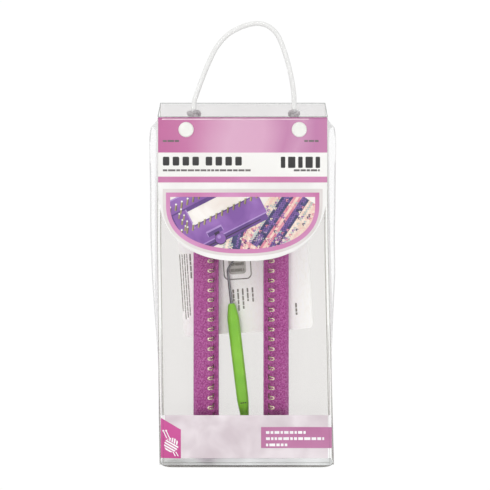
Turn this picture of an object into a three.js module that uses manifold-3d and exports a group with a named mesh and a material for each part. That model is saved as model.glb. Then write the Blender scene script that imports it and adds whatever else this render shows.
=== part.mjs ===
// Sock knitting loom kit: an adjustable peg loom with its hook and leaflet, standing in a clear
// snap-flap pouch with a cord handle. Millimetres, +Z up, front facing -Y, standing on z = 0.
import * as THREE from 'three';
import { mergeVertices } from 'three/addons/utils/BufferGeometryUtils.js';
import Module from 'manifold-3d';

const wasm = await Module();
wasm.setup();

// ---- driving dimensions ----------------------------------------------------------------
const GAP = 0.3;                       // clearance between neighbouring solids

const FILM = 0.5;                      // pouch sheet
const FRONT_FACE = -15;                // outer face of the front panel
const BACK_FACE = 19;                  // outer face of the back panel
const FOOT_HALF = 67.5;                // half width of the base
const MOUTH_HALF = 65.3;               // half width of the front panel at its top, and of the flap
const BACK_HALF = 67.2;                // half width of the back panel
const FRONT_TOP = 267;                 // top edge of the front panel, under the flap
const CREASE = { y: -17.1, z: 272 };   // front crease, where shoulder and flap meet
const RIDGE = { y: BACK_FACE, z: 289 }; // back crease, where shoulder and back panel meet
const FOOT_CORNER = 6;                 // corner radius of the base
// Height, and half width of the outward gusset fold there.
const GUSSET_FOLD = [[0.8, 68.6], [45, 68.9], [87, 69.6], [118, 71.6], [148, 73.5], [210, 74.3],
  [258, 74.8], [266, 74.2], [270, 72.4], [271.5, 70]];
const GUSSET_FOLD_Y = 6;

const FLAP_TOP = CREASE.z - 0.4;
const FLAP_SHOULDER = 221;             // where the flap's straight sides end
const FLAP_BOTTOM = 160.8;
const FLAP_CURVE = 2.45;               // superellipse exponent of the flap's rounded end
const SNAP = { x: 43.6, z: 262.1, cap: 5.9, flapHole: 3, panelHole: 1.9 };

const CORD_RADIUS = 2;
const CORD_Y = 5;                      // depth of the two cord holes
const CORD_FOOT = 285;                 // height where the handle leaves its knots
const CORD_HOLE = 2.7;
const CORD_X = 40;                     // the holes, either side of the middle
const CORD_ROUTE = [[-CORD_X, CORD_FOOT], [-39.7, 288], [-37.8, 294], [-34.2, 304], [-28.6, 318],
  [-22, 331], [-13.2, 341], [-2, 347.4], [9.4, 350.2], [18.6, 348.4], [26.2, 341.8], [31.2, 331],
  [35, 319], [38, 306], [39.7, 295], [40, 289], [CORD_X, CORD_FOOT]];

const LOOM_X = -2.3;                   // the loom stands a little left of the pouch's middle
const LOOM_BASE = 0.8;
const LOOM_WIDTH = 76;
const LOOM_HEIGHT = 236;
const RAIL = 20;                       // width of the long and the short sides
const LOOM_FRONT = 1;                  // front face of the frame
const LOOM_BACK = 15;
const LOOM_CORNER = 6;
const RIM = { width: 1.2, height: 0.8 };
const CHAMFER = 2.8;
const SLOT_Y = 8;                      // mid depth of the clamp slot in each long side
const SLOT_HALF = 2.2;
const SLOT_ENDS = [28, 210];
const GROOVE_HALF = 3.6;               // the wider groove round it, in which the clamp plate slides
const GROOVE_DEPTH = 2.4;
const GROOVE_ENDS = [18.4, 219.2];
const SCREW_BORE = 1.9;
const SCREW_SINK = { radius: 3.3, depth: 2.8 };
const SCREW_PILOT = { radius: 1.8, depth: 10 };

const PEG_PITCH = 7.62;
const PEG_COUNT = 24;
const PEG_FROM_EDGE = 3.9;             // peg row, from the inner edge of its long side
const PEG_TIP = -11;                   // how far forward the pegs reach
const HAIRPIN = { wire: 1.2, width: 3, head: 3.2 };
const CARRIER = { half: 1, depth: 1.6 };

const SLIDER_Z = 186;                  // resting height of the slider
const SLIDER_HALF = 10;
const SLIDER_PLATE = 4.6;
const SLIDER_BLOCK = 4.6;
const SLIDER_PEGS = 4;
const STUD_RADIUS = 1.8;
const CLAMP_HALF = 12.5;
const BALL_RADIUS = 5.2;

const HOOK_FOOT = { x: 2.2, y: 10.9, z: 21.4 };
const HOOK_TILT = THREE.MathUtils.degToRad(6.7);
const HOOK_GRIP = 105.4;
const HOOK_OVAL = 1.12;
const HOOK_SHAFT = 27.8;
const HOOK_CROOK = 15;
const HOOK_BEND = THREE.MathUtils.degToRad(42);

const LEAFLET = { width: 105, height: 148, thick: 1.2, x: 3.9, z: 103, y: 16.2 };
const LEAFLET_TILT = THREE.MathUtils.degToRad(3.7);

// ---- materials -------------------------------------------------------------------------
const finish = (color, roughness, metalness = 0, opacity = 1) => new THREE.MeshStandardMaterial(
  { color, roughness, metalness, opacity, transparent: opacity < 1 });
const clearFilm = finish(0xe8eceb, 0.15, 0, 0.3);
const frostedFilm = finish(0xe9e7e6, 0.4, 0, 0.8);
const printedFilm = finish(0xe8e6e4, 0.35);
const snapPlastic = finish(0xf1f2ec, 0.35);
const cordBraid = finish(0xededea, 0.9);
const purplePlastic = finish(0x964b8c, 0.4);
const knobPlastic = finish(0x7b4aa0, 0.3);
const pegWire = finish(0xb9ac94, 0.3, 0.9);
const brassMetal = finish(0xb89a54, 0.35, 0.9);
const steel = finish(0xa7a8aa, 0.25, 0.9);
const limeGrip = finish(0x8cc63f, 0.4);
const paper = finish(0xe4e4e0, 0.8);

// ---- helpers ---------------------------------------------------------------------------
function solidOf(geometry) {
  const plain = geometry.clone();
  plain.deleteAttribute('normal');
  plain.deleteAttribute('uv');
  const merged = mergeVertices(plain, 1e-4);
  return new wasm.Manifold(new wasm.Mesh({
    numProp: 3,
    vertProperties: new Float32Array(merged.attributes.position.array),
    triVerts: new Uint32Array(merged.index.array),
  }));
}

function geometryOf(solid) {
  const found = solid.getMesh();
  const geometry = new THREE.BufferGeometry();
  geometry.setAttribute('position', new THREE.BufferAttribute(new Float32Array(found.vertProperties), 3));
  geometry.setIndex(new THREE.BufferAttribute(new Uint32Array(found.triVerts), 1));
  geometry.computeVertexNormals();
  return geometry;
}

function cut(geometry, ...tools) {
  return geometryOf(tools.reduce((body, tool) => body.subtract(solidOf(tool)), solidOf(geometry)));
}

function join(first, ...others) {
  return geometryOf(others.reduce((body, other) => body.add(solidOf(other)), solidOf(first)));
}

function block([x0, x1], [y0, y1], [z0, z1]) {
  return new THREE.BoxGeometry(x1 - x0, y1 - y0, z1 - z0)
    .translate((x0 + x1) / 2, (y0 + y1) / 2, (z0 + z1) / 2);
}

// A rod along X from one place to another, at a given Y and Z.
function rod(radius, from, to, [y, z], sides = 24) {
  return new THREE.CylinderGeometry(radius, radius, to - from, sides)
    .rotateZ(-Math.PI / 2).translate((from + to) / 2, y, z);
}

// An outline drawn in X and Z, given thickness from its front face back towards +Y.
function sheet(shape, front, thick, segments = 12) {
  return new THREE.ExtrudeGeometry(shape, { depth: thick, bevelEnabled: false, curveSegments: segments })
    .rotateX(Math.PI / 2).translate(0, front + thick, 0);
}

// An outline drawn in X and Y, raised from one height to another.
function prism(shape, low, high, segments = 8) {
  return new THREE.ExtrudeGeometry(shape, { depth: high - low, bevelEnabled: false, curveSegments: segments })
    .translate(0, 0, low);
}

function outline(points) {
  return new THREE.Shape(points.map(([x, y]) => new THREE.Vector2(x, y)));
}

function roundedRectangle(x0, x1, y0, y1, radius) {
  const shape = new THREE.Shape();
  shape.absarc(x1 - radius, y1 - radius, radius, 0, Math.PI / 2);
  shape.absarc(x0 + radius, y1 - radius, radius, Math.PI / 2, Math.PI);
  shape.absarc(x0 + radius, y0 + radius, radius, Math.PI, Math.PI * 1.5);
  shape.absarc(x1 - radius, y0 + radius, radius, Math.PI * 1.5, Math.PI * 2);
  shape.closePath();
  return shape;
}

function roundHole(shape, x, y, radius) {
  const hole = new THREE.Path();
  hole.absarc(x, y, radius, 0, Math.PI * 2, true);
  shape.holes.push(hole);
}

function turned(profile, sides = 24) {
  return new THREE.LatheGeometry(profile.map(([r, h]) => new THREE.Vector2(r, h)), sides);
}

const part = new THREE.Group();

function place(name, geometry, material, parent = part) {
  const mesh = new THREE.Mesh(geometry, material);
  mesh.name = name;
  parent.add(mesh);
  return mesh;
}

const sides = [['left', -1], ['right', 1]];

// ---- pouch -----------------------------------------------------------------------------
function frontPanelHalf(z) {
  return THREE.MathUtils.lerp(FOOT_HALF - 0.6, MOUTH_HALF, z / FRONT_TOP);
}

function frontPanel() {
  const low = FILM + GAP;
  const shape = outline([[-frontPanelHalf(low), low], [frontPanelHalf(low), low],
    [MOUTH_HALF, FRONT_TOP], [-MOUTH_HALF, FRONT_TOP]]);
  for (const [, side] of sides) roundHole(shape, side * SNAP.x, SNAP.z, SNAP.panelHole);
  return sheet(shape, FRONT_FACE, FILM, 6);
}

function backPanel() {
  return block([-BACK_HALF, BACK_HALF], [BACK_FACE - FILM, BACK_FACE], [FILM + GAP, RIDGE.z - 1]);
}

function basePanel() {
  return prism(roundedRectangle(-FOOT_HALF, FOOT_HALF, FRONT_FACE, BACK_FACE, FOOT_CORNER), 0, FILM, 1);
}

// One side wall: a sheet folded outwards along its middle, whose fold leans out towards the top.
function gusset(side) {
  const rings = GUSSET_FOLD.map(([z, fold]) => {
    const front = Math.max(frontPanelHalf(z), MOUTH_HALF) + GAP;
    const back = BACK_HALF + GAP;
    return [[front, FRONT_FACE], [fold - FILM, GUSSET_FOLD_Y], [back, BACK_FACE],
      [back + FILM, BACK_FACE], [fold, GUSSET_FOLD_Y], [front + FILM, FRONT_FACE]]
      .map(([x, y]) => [side * x, y, z]);
  });
  return loft(side < 0 ? rings.map((ring) => ring.reverse()) : rings);
}

// A closed body through rings of six corners, each ring turning clockwise seen from above.
function loft(rings) {
  const count = rings[0].length;
  const index = [];
  for (let level = 0; level + 1 < rings.length; level += 1) {
    for (let i = 0; i < count; i += 1) {
      const a = level * count + i;
      const b = level * count + ((i + 1) % count);
      const [c, d] = [b + count, a + count];
      // Both faces of the sheet are split along the same diagonal, so that it keeps its thickness.
      index.push(...(i < count / 2 ? [a, d, b, b, d, c] : [a, d, c, a, c, b]));
    }
  }
  const top = (rings.length - 1) * count;
  for (const [a, b, c] of [[0, 1, 4], [0, 4, 5], [1, 2, 3], [1, 3, 4]]) {
    index.push(a, b, c, top + a, top + c, top + b);
  }
  const geometry = new THREE.BufferGeometry();
  geometry.setAttribute('position', new THREE.Float32BufferAttribute(rings.flat(2), 3));
  geometry.setIndex(index);
  geometry.computeVertexNormals();
  return geometry;
}

// The press stud's half on the front panel: a disc inside, a neck through the film and a tip.
function snapStud() {
  return turned([[0, -16.8], [1, -16.8], [1.3, -16.5], [1.3, -15.3], [1.6, -15.2], [1.6, -14.2],
    [4.5, -14.2], [4.2, -13.6], [0, -13.4]]);
}

// Its other half, riveted through the flap: a domed cap outside and a socket inside.
function snapCap() {
  const flapFront = CREASE.y;
  const flapBack = flapFront + FILM;
  return turned([[0, -19], [2.4, -18.92], [4.2, -18.6], [5.4, -18.1], [SNAP.cap, flapFront - GAP - 0.1],
    [2.7, flapFront - GAP], [2.7, flapBack + GAP], [4.5, flapBack + GAP], [4.5, -15.5], [1.8, -15.5],
    [1.8, -17.4], [0, -17.4]], 28);
}

function addPouch() {
  place('pouch_back_panel', backPanel(), clearFilm);
  place('pouch_front_panel', frontPanel(), clearFilm);
  place('pouch_base', basePanel(), clearFilm);
  for (const [name, side] of sides) {
    place(`pouch_gusset_${name}`, gusset(side), clearFilm);
    place(`snap_stud_${name}`, snapStud(), snapPlastic).position.set(side * SNAP.x, 0, SNAP.z);
  }
}

// ---- shoulder strip, flap and handle -----------------------------------------------------
function addShoulder() {
  const run = RIDGE.y - CREASE.y;
  const slope = Math.atan2(RIDGE.z - CREASE.z, run);
  const length = Math.hypot(run, RIDGE.z - CREASE.z) - 0.7;
  const shape = outline([[-BACK_HALF, -0.4], [-MOUTH_HALF, -length], [MOUTH_HALF, -length],
    [BACK_HALF, -0.4]]);
  const holeAt = -(RIDGE.y - CORD_Y) / Math.cos(slope);
  for (const [, side] of sides) roundHole(shape, side * CORD_X, holeAt, CORD_HOLE);
  const leaning = new THREE.Group();
  leaning.position.set(0, RIDGE.y, RIDGE.z);
  leaning.rotation.x = slope;
  part.add(leaning);
  place('shoulder_strip', prism(shape, -FILM, 0, 6), frostedFilm, leaning);

  // Each knot is a ball under the strip whose neck comes up through its hole.
  const knot = turned([[0, -14.6], [2.4, -14.2], [4.2, -12.6], [4.9, -10.2], [4.3, -7.9], [2.6, -6.4],
    [1.9, -5.4], [1.9, -2.3], [0, -2.3]], 16).rotateX(Math.PI / 2);
  for (const [name, side] of sides) {
    place(`cord_knot_${name}`, knot, cordBraid).position.set(side * CORD_X, CORD_Y, CORD_FOOT);
  }
}

function flapPanel() {
  const points = [[-MOUTH_HALF, FLAP_TOP]];
  const steps = 36;
  for (let i = 0; i <= steps; i += 1) {
    const angle = Math.PI + (Math.PI * i) / steps;
    const across = Math.cos(angle);
    const down = Math.sin(angle);
    points.push([
      MOUTH_HALF * Math.sign(across) * Math.abs(across) ** (2 / FLAP_CURVE),
      FLAP_SHOULDER - (FLAP_SHOULDER - FLAP_BOTTOM) * Math.abs(down) ** (2 / FLAP_CURVE),
    ]);
  }
  points.push([MOUTH_HALF, FLAP_TOP]);
  const shape = outline(points);
  for (const [, side] of sides) roundHole(shape, side * SNAP.x, SNAP.z, SNAP.flapHole);
  return sheet(shape, CREASE.y, FILM, 8);
}

function handleCord() {
  const route = new THREE.CatmullRomCurve3(
    CORD_ROUTE.map(([x, z]) => new THREE.Vector3(x, CORD_Y, z)), false, 'centripetal');
  const section = new THREE.Shape();
  section.absarc(0, 0, CORD_RADIUS, 0, Math.PI * 2);
  return new THREE.ExtrudeGeometry(section,
    { steps: 30, extrudePath: route, bevelEnabled: false, curveSegments: 5 });
}

function addFlapAndHandle() {
  place('flap_panel', flapPanel(), printedFilm);
  for (const [name, side] of sides) {
    place(`snap_cap_${name}`, snapCap(), snapPlastic).position.set(side * SNAP.x, 0, SNAP.z);
  }
  place('handle_cord', handleCord(), cordBraid);
}

// ---- loom frame ------------------------------------------------------------------------
const loom = new THREE.Group();
loom.position.x = LOOM_X;
part.add(loom);

const loomTop = LOOM_BASE + LOOM_HEIGHT;
const outerEdge = LOOM_WIDTH / 2;
const innerEdge = outerEdge - RAIL;
const endRows = [['bottom', LOOM_BASE + RAIL / 2], ['top', loomTop - RAIL / 2]];
const pegRowX = innerEdge + PEG_FROM_EDGE;
const pegRowHalf = ((PEG_COUNT - 1) * PEG_PITCH) / 2 + 3;
const loomMiddle = LOOM_BASE + LOOM_HEIGHT / 2;

// The right-hand long side; the left one is its mirror image.
function longSide() {
  const section = outline([[innerEdge, LOOM_BACK], [innerEdge, LOOM_FRONT - RIM.height],
    [innerEdge + RIM.width, LOOM_FRONT - RIM.height], [innerEdge + RIM.width + 0.4, LOOM_FRONT],
    [outerEdge - CHAMFER, LOOM_FRONT], [outerEdge, LOOM_FRONT + CHAMFER], [outerEdge, LOOM_BACK]]);
  const frame = sheet(roundedRectangle(-outerEdge, outerEdge, LOOM_BASE, loomTop, LOOM_CORNER),
    LOOM_FRONT - 2, LOOM_BACK - LOOM_FRONT + 4, 5);
  const body = geometryOf(solidOf(prism(section, LOOM_BASE, loomTop)).intersect(solidOf(frame)));
  const slot = block([innerEdge - 1, outerEdge + 1], [SLOT_Y - SLOT_HALF, SLOT_Y + SLOT_HALF], SLOT_ENDS);
  const groove = block([outerEdge - GROOVE_DEPTH, outerEdge + 1],
    [SLOT_Y - GROOVE_HALF, SLOT_Y + GROOVE_HALF], GROOVE_ENDS);
  const bed = block([pegRowX - CARRIER.half - GAP, pegRowX + CARRIER.half + GAP],
    [LOOM_FRONT - 2, LOOM_FRONT + CARRIER.depth + GAP],
    [loomMiddle - pegRowHalf - GAP, loomMiddle + pegRowHalf + GAP]);
  const screwHoles = endRows.flatMap(([, z]) => [
    rod(SCREW_BORE, innerEdge - 1, outerEdge + 1, [SLOT_Y, z], 16),
    rod(SCREW_SINK.radius, outerEdge - SCREW_SINK.depth, outerEdge + 1, [SLOT_Y, z], 20)]);
  return cut(body, slot, groove, bed, ...screwHoles);
}

// A short side between the long ones, with the same raised inner rim.
function shortSide(z, rimSide) {
  const half = RAIL / 2;
  const reach = innerEdge - GAP;
  const rimEdge = z + rimSide * half;
  const rimFoot = rimEdge - rimSide * RIM.width;
  return cut(
    join(block([-reach, reach], [LOOM_FRONT, LOOM_BACK], [z - half, z + half]),
      block([-reach, reach], [LOOM_FRONT - RIM.height, LOOM_FRONT + 1],
        [Math.min(rimEdge, rimFoot), Math.max(rimEdge, rimFoot)])),
    ...sides.map(([, side]) => rod(SCREW_PILOT.radius, side > 0 ? reach - SCREW_PILOT.depth : -reach - 1,
      side > 0 ? reach + 1 : SCREW_PILOT.depth - reach, [SLOT_Y, z], 16)));
}

function endScrew() {
  return turned([[0, 8.6], [1.1, 8.6], [1.5, 9.6], [1.5, outerEdge - 2.4], [2.9, outerEdge - 2.4],
    [2.9, outerEdge - 1], [2.5, outerEdge - 0.6], [0, outerEdge - 0.6]], 16);
}

// A row of hairpin pegs on one carrier strip. Drawn for the strip's middle at the origin, with the
// row along Z, the heads bent towards +X, and `offsets` saying where the pegs stand.
function pegRow(offsets, half) {
  const { wire, width, head } = HAIRPIN;
  const root = LOOM_FRONT + 0.8;
  const knee = PEG_TIP + head * 0.9;
  const bent = outline([[-wire / 2, root], [-wire / 2, knee], [head - wire / 3, PEG_TIP],
    [head + wire / 3, PEG_TIP + wire * 0.8], [wire / 2, knee + wire * 0.5], [wire / 2, root]]);
  const strip = block([-CARRIER.half, CARRIER.half], [LOOM_FRONT, LOOM_FRONT + CARRIER.depth], [-half, half]);
  return join(strip, ...offsets.map((z) => prism(bent, z - width / 2, z + width / 2)));
}

function rowOffsets(count) {
  return Array.from({ length: count }, (_, i) => (i - (count - 1) / 2) * PEG_PITCH);
}

function mirrored(geometry) {
  return geometryOf(solidOf(geometry).mirror([1, 0, 0]));
}

function addLoom() {
  const rail = longSide();
  place('loom_long_side_right', rail, purplePlastic, loom);
  place('loom_long_side_left', mirrored(rail), purplePlastic, loom);
  place('loom_short_side_bottom', shortSide(endRows[0][1], 1), purplePlastic, loom);
  place('loom_short_side_top', shortSide(endRows[1][1], -1), purplePlastic, loom);
  const pegs = pegRow(rowOffsets(PEG_COUNT), pegRowHalf);
  place('peg_row_right', pegs, pegWire, loom).position.set(pegRowX, 0, loomMiddle);
  place('peg_row_left', mirrored(pegs), pegWire, loom).position.set(-pegRowX, 0, loomMiddle);
  for (const [end, z] of endRows) {
    for (const [name, side] of sides) {
      const screw = place(`end_screw_${end}_${name}`, endScrew(), steel, loom);
      screw.rotation.z = (-side * Math.PI) / 2;
      screw.position.set(0, SLOT_Y, z);
    }
  }
}

// ---- slider, clamps and knobs ------------------------------------------------------------
function sliderBar() {
  const reach = innerEdge - 0.4;
  const plateBack = LOOM_FRONT + SLIDER_PLATE;
  let body = block([-reach, reach], [LOOM_FRONT, plateBack], [-SLIDER_HALF, SLIDER_HALF]);
  for (const side of [-1, 1]) {
    const inner = side * (reach - SLIDER_BLOCK);
    const outer = side * reach;
    const edge = side * SLIDER_HALF;
    const foot = edge - side * RIM.width;
    body = join(body,
      block([Math.min(inner, outer), Math.max(inner, outer)], [LOOM_FRONT, LOOM_BACK],
        [-SLIDER_HALF, SLIDER_HALF]),
      block([-reach, reach], [LOOM_FRONT - RIM.height, LOOM_FRONT + 1],
        [Math.min(edge, foot), Math.max(edge, foot)]));
  }
  const beds = [-1, 1].map((side) => block([-15.6, 15.6],
    [LOOM_FRONT - 0.5, LOOM_FRONT + CARRIER.depth + GAP],
    [side * 4.5 - CARRIER.half - GAP, side * 4.5 + CARRIER.half + GAP]));
  const bores = [-1, 1].map((side) => rod(2.9, side > 0 ? reach - SLIDER_BLOCK - 1 : -reach - 1,
    side > 0 ? reach + 1 : -reach + SLIDER_BLOCK + 1, [SLOT_Y, 0], 16));
  return cut(body, ...beds, ...bores);
}

function threadInsert() {
  const inner = innerEdge - 0.4 - SLIDER_BLOCK + 0.2;
  const outer = innerEdge - 0.6;
  return turned([[2.1, inner], [2.6, inner], [2.6, outer], [2.1, outer], [2.1, inner]], 16);
}

function clampPlate() {
  const inner = outerEdge - GROOVE_DEPTH + GAP;
  const shape = roundedRectangle(SLOT_Y - GROOVE_HALF + 0.4, SLOT_Y + GROOVE_HALF - 0.4,
    -CLAMP_HALF, CLAMP_HALF, 1.5);
  roundHole(shape, SLOT_Y, 0, STUD_RADIUS + 0.4);
  const plate = new THREE.ExtrudeGeometry(shape, { depth: 2.6, bevelEnabled: false, curveSegments: 4 });
  const basis = new THREE.Matrix4().makeBasis(
    new THREE.Vector3(0, 1, 0), new THREE.Vector3(0, 0, 1), new THREE.Vector3(1, 0, 0));
  return plate.applyMatrix4(basis).translate(inner, 0, 0);
}

const knobFace = outerEdge - GROOVE_DEPTH + GAP + 2.6 + 0.3;

// A ball knob on a collar, with a blind hole for its threaded stud. Height runs outwards.
function knobBall() {
  const centre = knobFace + 3 + BALL_RADIUS;
  const profile = [[2.1, knobFace], [3.2, knobFace], [3, knobFace + 3]];
  const steps = 8;
  for (let i = 1; i <= steps; i += 1) {
    const angle = -0.95 + ((Math.PI / 2 + 0.95) * i) / steps;
    profile.push([i === steps ? 0 : BALL_RADIUS * Math.cos(angle), centre + BALL_RADIUS * Math.sin(angle)]);
  }
  return turned([[0, knobFace + 6], [2.1, knobFace + 6], ...profile], 12);
}

function knobStud() {
  const inner = innerEdge - 0.4 - SLIDER_BLOCK;
  return turned([[0, inner + 0.4], [1.4, inner + 0.4], [STUD_RADIUS, inner + 0.9],
    [STUD_RADIUS, knobFace + 5.6], [0, knobFace + 5.6]], 16);
}

function addSlider() {
  const slider = new THREE.Group();
  slider.position.z = SLIDER_Z;
  loom.add(slider);
  place('slider_bar', sliderBar(), purplePlastic, slider);
  const pegs = pegRow(rowOffsets(SLIDER_PEGS), 15.3);
  const upper = place('slider_pegs_upper', pegs, pegWire, slider);
  upper.rotation.y = -Math.PI / 2;
  upper.position.z = 4.5;
  const lower = place('slider_pegs_lower', pegs, pegWire, slider);
  lower.rotation.y = Math.PI / 2;
  lower.position.z = -4.5;
  for (const [name, side] of sides) {
    const outwards = new THREE.Group();
    outwards.rotation.z = (-side * Math.PI) / 2;
    outwards.position.y = SLOT_Y;
    slider.add(outwards);
    place(`thread_insert_${name}`, threadInsert(), brassMetal, outwards);
    place(`knob_stud_${name}`, knobStud(), steel, outwards);
    place(`knob_${name}`, knobBall(), knobPlastic, outwards);
    const plate = side > 0 ? clampPlate() : mirrored(clampPlate());
    place(`clamp_plate_${name}`, plate, purplePlastic, slider);
  }
}

// ---- hook and leaflet --------------------------------------------------------------------
// The grip is an oval bar, a little wider than it is deep.
function hookGrip() {
  return turned([[0, 0], [1.8, 0.3], [2.4, 1.6], [2.8, 8], [3.3, 18], [3.8, 23], [4.3, 28], [4.5, 46],
    [4.6, 67], [4.6, 92], [4.2, 97], [3.4, 101], [2.8, 103.8], [2.2, HOOK_GRIP], [1.4, HOOK_GRIP],
    [1.4, HOOK_GRIP - 12], [0, HOOK_GRIP - 12]], 16).rotateX(Math.PI / 2).scale(HOOK_OVAL, 1, 1);
}

function hookShaft() {
  const bendAt = HOOK_GRIP + HOOK_SHAFT;
  const along = (distance) => new THREE.Vector3(
    Math.sin(HOOK_BEND) * distance, 0, bendAt + Math.cos(HOOK_BEND) * distance);
  const route = new THREE.CurvePath();
  route.add(new THREE.LineCurve3(new THREE.Vector3(0, 0, HOOK_GRIP - 11.6),
    new THREE.Vector3(0, 0, bendAt - 2)));
  route.add(new THREE.QuadraticBezierCurve3(new THREE.Vector3(0, 0, bendAt - 2),
    new THREE.Vector3(0, 0, bendAt), along(2)));
  route.add(new THREE.LineCurve3(along(2), along(HOOK_CROOK)));
  const section = new THREE.Shape();
  section.absarc(0, 0, 0.9, 0, Math.PI * 2);
  return new THREE.ExtrudeGeometry(section,
    { steps: 28, extrudePath: route, bevelEnabled: false, curveSegments: 4 });
}

function addHook() {
  const hook = new THREE.Group();
  hook.position.set(HOOK_FOOT.x, HOOK_FOOT.y, HOOK_FOOT.z);
  hook.rotation.y = -HOOK_TILT;
  part.add(hook);
  place('hook_grip', hookGrip(), limeGrip, hook);
  place('hook_shaft', hookShaft(), steel, hook);
}

function addLeaflet() {
  const { width, height, thick, x, z, y } = LEAFLET;
  const leaflet = place('leaflet',
    sheet(roundedRectangle(-width / 2, width / 2, 0, height, 3), 0, thick, 3), paper);
  leaflet.position.set(x, y, z);
  leaflet.rotation.y = -LEAFLET_TILT;
}

addPouch();
addShoulder();
addFlapAndHandle();
addLoom();
addSlider();
addHook();
addLeaflet();

export default part;
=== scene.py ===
"""Looks of the sock loom kit: loom, hook and leaflet in a clear snap-flap pouch with a cord handle."""
import random
from math import copysign, cos, pi, radians, sin, sqrt

import bmesh
import bpy
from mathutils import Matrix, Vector, noise


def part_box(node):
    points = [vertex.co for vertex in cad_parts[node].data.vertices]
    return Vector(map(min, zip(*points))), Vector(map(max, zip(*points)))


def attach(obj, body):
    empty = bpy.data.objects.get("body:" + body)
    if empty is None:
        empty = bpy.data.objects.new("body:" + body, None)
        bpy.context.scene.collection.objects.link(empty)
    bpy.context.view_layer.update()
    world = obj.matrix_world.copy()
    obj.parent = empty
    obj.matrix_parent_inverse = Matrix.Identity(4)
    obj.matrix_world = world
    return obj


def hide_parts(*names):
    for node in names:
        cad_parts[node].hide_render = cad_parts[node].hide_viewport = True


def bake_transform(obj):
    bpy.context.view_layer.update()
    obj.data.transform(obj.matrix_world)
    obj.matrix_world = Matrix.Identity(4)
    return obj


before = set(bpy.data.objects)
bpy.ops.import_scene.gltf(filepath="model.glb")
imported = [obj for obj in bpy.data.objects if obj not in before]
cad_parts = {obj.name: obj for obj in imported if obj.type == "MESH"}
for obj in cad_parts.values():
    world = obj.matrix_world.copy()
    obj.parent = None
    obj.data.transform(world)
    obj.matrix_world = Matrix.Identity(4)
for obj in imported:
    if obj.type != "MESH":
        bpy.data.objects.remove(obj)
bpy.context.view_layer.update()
random.seed(7)

MM = 0.001
SIDES = (("left", -1), ("right", 1))
UP, OUT_FRONT, RIGHT = Vector((0, 0, 1)), Vector((0, -1, 0)), Vector((1, 0, 0))


# ---- camera, stage and light ----
def placed(name, data):
    """An object in the scene that holds this data."""
    obj = bpy.data.objects.new(name, data)
    bpy.context.scene.collection.objects.link(obj)
    return obj


def make_camera():
    """Level, square to the front, with the field that takes in the pouch and its handle."""
    data = bpy.data.cameras.new("camera")
    data.sensor_width = 36
    data.lens = 57
    camera = placed("camera", data)
    camera.location = (0.8 * MM, -615 * MM, 173.2 * MM)
    camera.rotation_euler = (radians(90), 0, 0)
    bpy.context.scene.camera = camera


def area_light(name, place, aim, size, power, mirrored=True):
    data = bpy.data.lights.new(name, "AREA")
    data.shape = "RECTANGLE"
    data.size, data.size_y = size
    data.energy = power
    lamp = placed(name, data)
    lamp.location = place
    lamp.rotation_euler = (Vector(aim) - Vector(place)).to_track_quat("-Z", "Y").to_euler()
    lamp.visible_glossy = mirrored


def white_when_seen(owner, lit, white, output="Material Output"):
    """Plain white to the camera and to mirrored rays, and the lit shader to all others."""
    rays = node(owner, "ShaderNodeLightPath")
    seen = sums(owner, "MAXIMUM", rays.outputs["Is Camera Ray"], rays.outputs["Is Glossy Ray"])
    mixed(owner, seen, lit, white, output)


def make_stage():
    """White room: pure white behind the object, softer and graded light on it."""
    scene = bpy.context.scene
    world = bpy.data.worlds.new("studio")
    world.use_nodes = True
    white = world.node_tree.nodes["Background"]
    white.inputs["Color"].default_value = (1, 1, 1, 1)
    white.inputs["Strength"].default_value = 1.02
    parts = node(world, "ShaderNodeSeparateXYZ")
    link(world, node(world, "ShaderNodeTexCoord").outputs["Generated"], parts.inputs["Vector"])
    height = sums(world, "MULTIPLY_ADD", parts.outputs["Z"], 0.5, 0.5)
    grade = ramp(world, height, [(0.0, 0.5), (0.5, 0.56), (1.0, 0.85)])
    lighting = node(world, "ShaderNodeBackground")
    link(world, grade, lighting.inputs["Color"])
    white_when_seen(world, lighting.outputs[0], white.outputs[0], "World Output")
    scene.world = world
    scene.view_settings.view_transform = "Standard"
    scene.cycles.transparent_max_bounces = 48
    scene.cycles.max_bounces = 10

    floor = make("floor", [(-3, -3, 0), (3, -3, 0), (3, 3, 0), (-3, 3, 0)], [(0, 1, 2, 3)], floor_white())
    floor.location.z = -0.2 * MM
    floor.visible_shadow = False
    area_light("key", (-0.16, -0.85, 0.0), (0, 0, 0.13), (0.16, 0.16), 1.92, mirrored=False)
    area_light("soft", (-0.6, -0.7, 0.7), (0, 0, 0.16), (0.5, 0.5), 1.2)
    area_light("fill", (0.8, -0.6, 0.35), (0, 0, 0.18), (0.3, 0.8), 0.8)


# ---- mesh helpers ----
def finished(name, work, materials=()):
    """The object made of a finished working mesh."""
    mesh = bpy.data.meshes.new(name)
    work.to_mesh(mesh)
    work.free()
    for material in materials:
        mesh.materials.append(material)
    return placed(name, mesh)


def make(name, verts, faces, *materials, smooth=True):
    mesh = bpy.data.meshes.new(name)
    mesh.from_pydata([tuple(v) for v in verts], [], faces)
    mesh.validate()
    work = bmesh.new()
    work.from_mesh(mesh)
    bpy.data.meshes.remove(mesh)
    bmesh.ops.recalc_face_normals(work, faces=work.faces)
    for face in work.faces:
        face.smooth = smooth
    return finished(name, work, materials)


def bake_modifiers(obj):
    """Leaves the evaluated mesh in place of the modifiers."""
    evaluated = obj.evaluated_get(bpy.context.evaluated_depsgraph_get())
    mesh = bpy.data.meshes.new_from_object(evaluated)
    obj.modifiers.clear()
    obj.data = mesh
    return obj


def thickened(sheet, thick, offset, degrees):
    """A sheet given its thickness, mm, with edges sharper than that angle kept crisp."""
    solid = sheet.modifiers.new("film", "SOLIDIFY")
    solid.thickness = thick * MM
    solid.offset = offset
    return sharp_below(bake_modifiers(sheet), degrees)


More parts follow.
